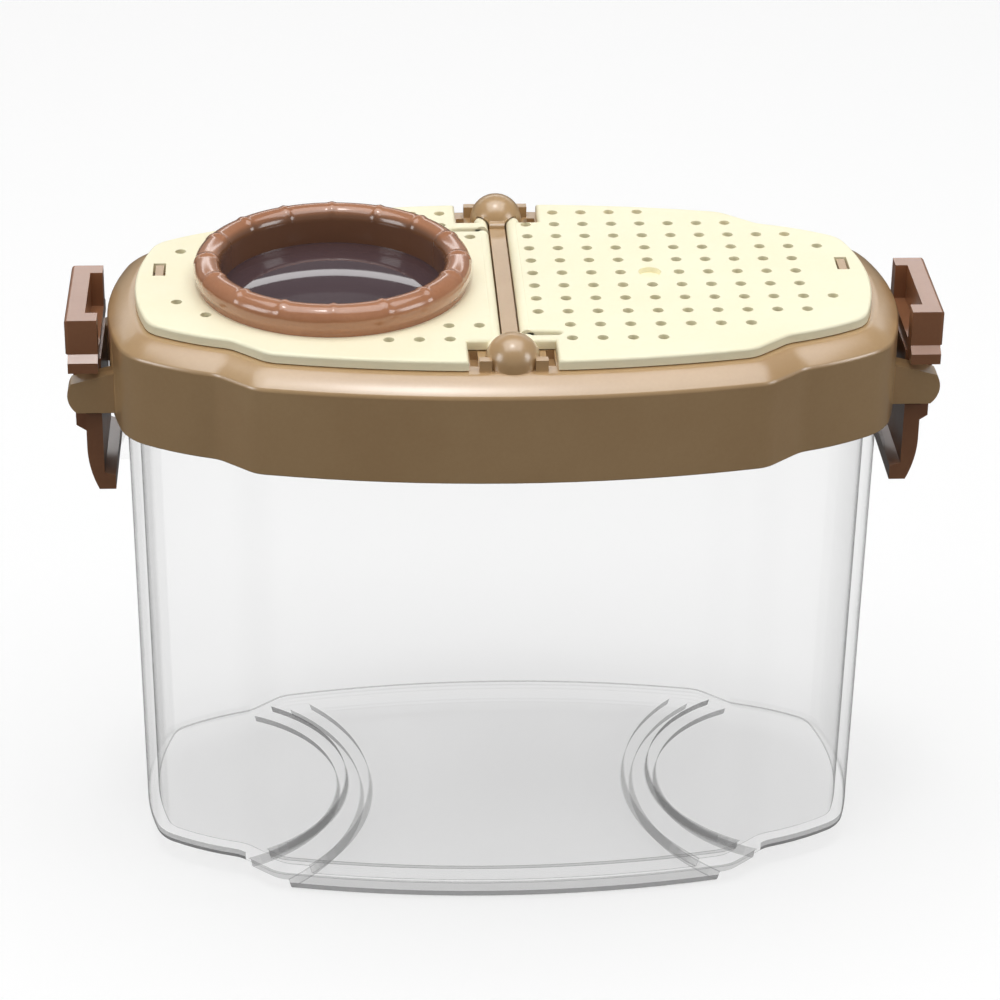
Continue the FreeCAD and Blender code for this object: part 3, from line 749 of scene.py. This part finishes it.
def square_drill(size):
    """Plan points of a four sided drill about the origin."""
    across = size.x / 2
    along = size.y / 2
    return [Vector((-across, -along)), Vector((across, -along)),
            Vector((across, along)), Vector((-across, along))]


def upright(points, low, high):
    """Closed solid over a ring of plan points."""
    shape = bmesh.new()
    face = shape.faces.new([shape.verts.new((point.x, point.y, low)) for point in points])
    raised = bmesh.ops.extrude_face_region(shape, geom=[face])["geom"]
    top_verts = [item for item in raised if isinstance(item, bmesh.types.BMVert)]
    bmesh.ops.translate(shape, vec=(0, 0, high - low), verts=top_verts)
    bmesh.ops.recalc_face_normals(shape, faces=shape.faces)
    return shape


def flap_blank(side):
    """Rounded plate of one flap before its holes are cut, as if on the right."""
    low = panel_top - flap_thickness
    shape = upright(flap_plan(side), low, panel_top)
    rim = [edge for edge in shape.edges if all(vert.co.z > low + flap_thickness / 2 for vert in edge.verts)]
    bmesh.ops.bevel(shape, geom=rim, offset=panel_edge_round, segments=panel_round_steps, profile=0.5,
                    affect="EDGES", clamp_overlap=True)
    bmesh.ops.triangulate(shape, faces=shape.faces)
    return shape


def drilled(mesh, places, drill_points, depth, material):
    """The mesh with a hole from the panel's top down to a depth at each plan place."""
    points = bpy.data.meshes.new("hole_places")
    points.from_pydata([(place.x, place.y, panel_top) for place in places], [], [])
    marks = bpy.data.objects.new("hole_places", points)
    tool = bpy.data.objects.new("drill", mesh_of("drill", upright(drill_points, -depth, depth)))
    blank = bpy.data.objects.new("blank", mesh)
    for item in (marks, tool, blank):
        bpy.context.scene.collection.objects.link(item)
    modifier = blank.modifiers.new("drill", "NODES")
    modifier.node_group = drilling
    values = {"Hole places": marks, "Drill": tool, "Finish": material}
    for item in drilling.interface.items_tree:
        if item.in_out == "INPUT" and item.name in values:
            modifier[item.identifier] = values[item.name]
    bpy.context.view_layer.update()
    result = bpy.data.meshes.new_from_object(blank.evaluated_get(bpy.context.evaluated_depsgraph_get()))
    blank.modifiers.remove(modifier)
    for item in (marks, tool, blank):
        bpy.data.objects.remove(item)
    return result


def make_flap(side):
    """One flap: drilled plate, catch window and hinge barrel, on its own side of the bar."""
    plate = mesh_of("flap_blank", flap_blank(side))
    through = flap_thickness * 2
    if side < 0:
        sleeve_hole = round_drill(sleeve_outer + sleeve_hole_gap, sleeve_hole_sides)
        plate = drilled(plate, [Vector((-lens_centre_x, 0))], sleeve_hole, through, cream_plastic)
    else:
        gate = Vector((gate_column * hole_column_pitch, hole_row_shift))
        plate = drilled(plate, [gate], round_drill(gate_diameter / 2, gate_sides), gate_depth, cream_plastic)
    plate = drilled(plate, [window_centre], square_drill(window_size), through, cream_plastic)
    air_hole = round_drill(hole_diameter / 2, hole_sides)
    plate = drilled(plate, hole_places(side), air_hole, through, cream_plastic)
    shape = bmesh.new()
    shape.from_mesh(plate)
    slot_low = -side * flex_slot_y - flex_slot_width / 2
    slot_high = -side * flex_slot_y + flex_slot_width / 2
    add_barrel(shape, barrel_radius, -barrel_half_length, slot_low)
    add_barrel(shape, barrel_radius, slot_high, barrel_half_length)
    add_barrel(shape, pin_radius, -pin_end_y, -barrel_half_length)
    add_barrel(shape, pin_radius, barrel_half_length, pin_end_y)
    if side < 0:
        bmesh.ops.scale(shape, vec=(-1, 1, 1), verts=shape.verts)
    return mesh_of("flap", shape)


# Pieces of the box
piece("clear_tank", make_tank(), clear_wall, "tank", ["tank"], smooth_angle=40.0)
piece("clear_left_catch", merged_copy("left_catch"), clear_wall, "tank", ["left_catch"])
piece("clear_right_catch", merged_copy("right_catch"), clear_wall, "tank", ["right_catch"])
piece("tan_lid_frame", rounded_copy("lid_frame", frame_edge_round, (shoulder_edge_z, skirt_bottom)),
      tan_plastic, "lid", ["lid_frame"], smooth_angle=20.0)
piece("cream_vent_flap", make_flap(1), cream_plastic, "vent_flap", ["vent_flap"])
piece("cream_lens_flap", make_flap(-1), cream_plastic, "lens_flap", ["lens_flap"])
piece("copper_bezel", make_lens_ring(), copper_plastic, "lens_flap", ["lens_ring"],
      smooth_angle=50.0)
piece("clear_magnifier", make_lens(), lens_painted_dark, "lens_flap", ["lens"])
piece("copper_retainer", merged_copy("lens_retainer"), copper_plastic, "lens_flap",
      ["lens_retainer"])
for node in ("left_latch", "right_latch"):
    piece("brown_" + node, rounded_copy(node, latch_edge_round), brown_plastic, node, [node])


def looked_at(finish):
    """One where a ray comes from the camera or through clear plastic."""
    seen = finish.node("ShaderNodeLightPath").socket.node.outputs
    return Wire(finish, seen["Is Camera Ray"]) + Wire(finish, seen["Is Transmission Ray"])


def make_floor():
    """Pale floor that keeps a soft shadow and shows white."""
    finish = Finish(bpy.data.materials.new("studio_floor"))
    direct = looked_at(finish)
    shadowed = finish.node("ShaderNodeBsdfDiffuse", {}, {"Color": pure_white})
    white = finish.node("ShaderNodeEmission", {}, {"Color": pure_white, "Strength": 1.0})
    shown = finish.node("ShaderNodeMixShader", {}, {0: floor_white_share, 1: shadowed, 2: white})
    grey = (floor_bounce, floor_bounce, floor_bounce, 1.0)
    bounce = finish.node("ShaderNodeBsdfDiffuse", {}, {"Color": grey})
    material = finish.surface(finish.node("ShaderNodeMixShader", {}, {0: direct, 1: bounce, 2: shown}))
    mesh = bpy.data.meshes.new("studio_floor")
    half = floor_half_size
    corners = [(-half, -half, 0), (half, -half, 0), (half, half, 0), (-half, half, 0)]
    mesh.from_pydata(corners, [], [(0, 1, 2, 3)])
    mesh.materials.append(material)
    floor = bpy.data.objects.new("studio_floor", mesh)
    floor.location.z = -floor_drop
    bpy.context.scene.collection.objects.link(floor)


def make_world():
    """White surroundings for the camera and for rays through clear plastic, dimmer as a lamp and in
    reflections.
    """
    world = bpy.data.worlds.new("studio")
    bpy.context.scene.world = world
    finish = Finish(world)
    direct = looked_at(finish)
    dim = finish.node("ShaderNodeBackground", {}, {"Color": pure_white, "Strength": surroundings_strength})
    white = finish.node("ShaderNodeBackground", {}, {"Color": pure_white, "Strength": 1.0})
    finish.surface(finish.node("ShaderNodeMixShader", {}, {0: direct, 1: dim, 2: white}),
                   "ShaderNodeOutputWorld")


def lamp(name, kind, place, energy, **settings):
    """A lamp that faces the lid."""
    light = bpy.data.lights.new(name, kind)
    light.energy = energy
    for key, value in settings.items():
        setattr(light, key, value)
    made = bpy.data.objects.new(name, light)
    made.location = place
    made.rotation_euler = (lamp_target - Vector(place)).to_track_quat("-Z", "Y").to_euler()
    bpy.context.scene.collection.objects.link(made)


def make_camera():
    """Camera at the photograph's place, fitted to a frame of equal sides."""
    data = bpy.data.cameras.new("studio_camera")
    data.sensor_width = 36.0
    data.lens = camera_lens
    data.clip_start = 0.01
    camera = bpy.data.objects.new("studio_camera", data)
    turn = Matrix.Rotation(-camera_yaw, 4, "Z")
    tilt = Matrix.Rotation(math.pi / 2 - camera_pitch, 4, "X")
    lean = Matrix.Rotation(camera_roll, 4, "Z")
    camera.matrix_world = Matrix.Translation(camera_place) @ turn @ tilt @ lean
    bpy.context.scene.collection.objects.link(camera)
    bpy.context.scene.camera = camera


make_floor()
make_world()
lamp("top_panel", "AREA", (0.0, -0.05, 1.0), energy=7.5, shape="RECTANGLE", size=1.2, size_y=0.9)
lamp("back_strip", "AREA", (0.0, 1.5, 0.78), energy=3.0, shape="RECTANGLE", size=2.5, size_y=0.14)
lamp("left_panel", "AREA", (-1.1, -0.5, 0.5), energy=3.2, shape="RECTANGLE", size=0.5, size_y=0.5)
lamp("right_panel", "AREA", (1.1, -0.5, 0.5), energy=3.2, shape="RECTANGLE", size=0.5, size_y=0.5)
lamp("highlight_sun", "SUN", (-0.05, -0.12, 1.0), energy=0.35, angle=math.radians(10))
make_camera()
bpy.context.scene.view_settings.view_transform = "Standard"
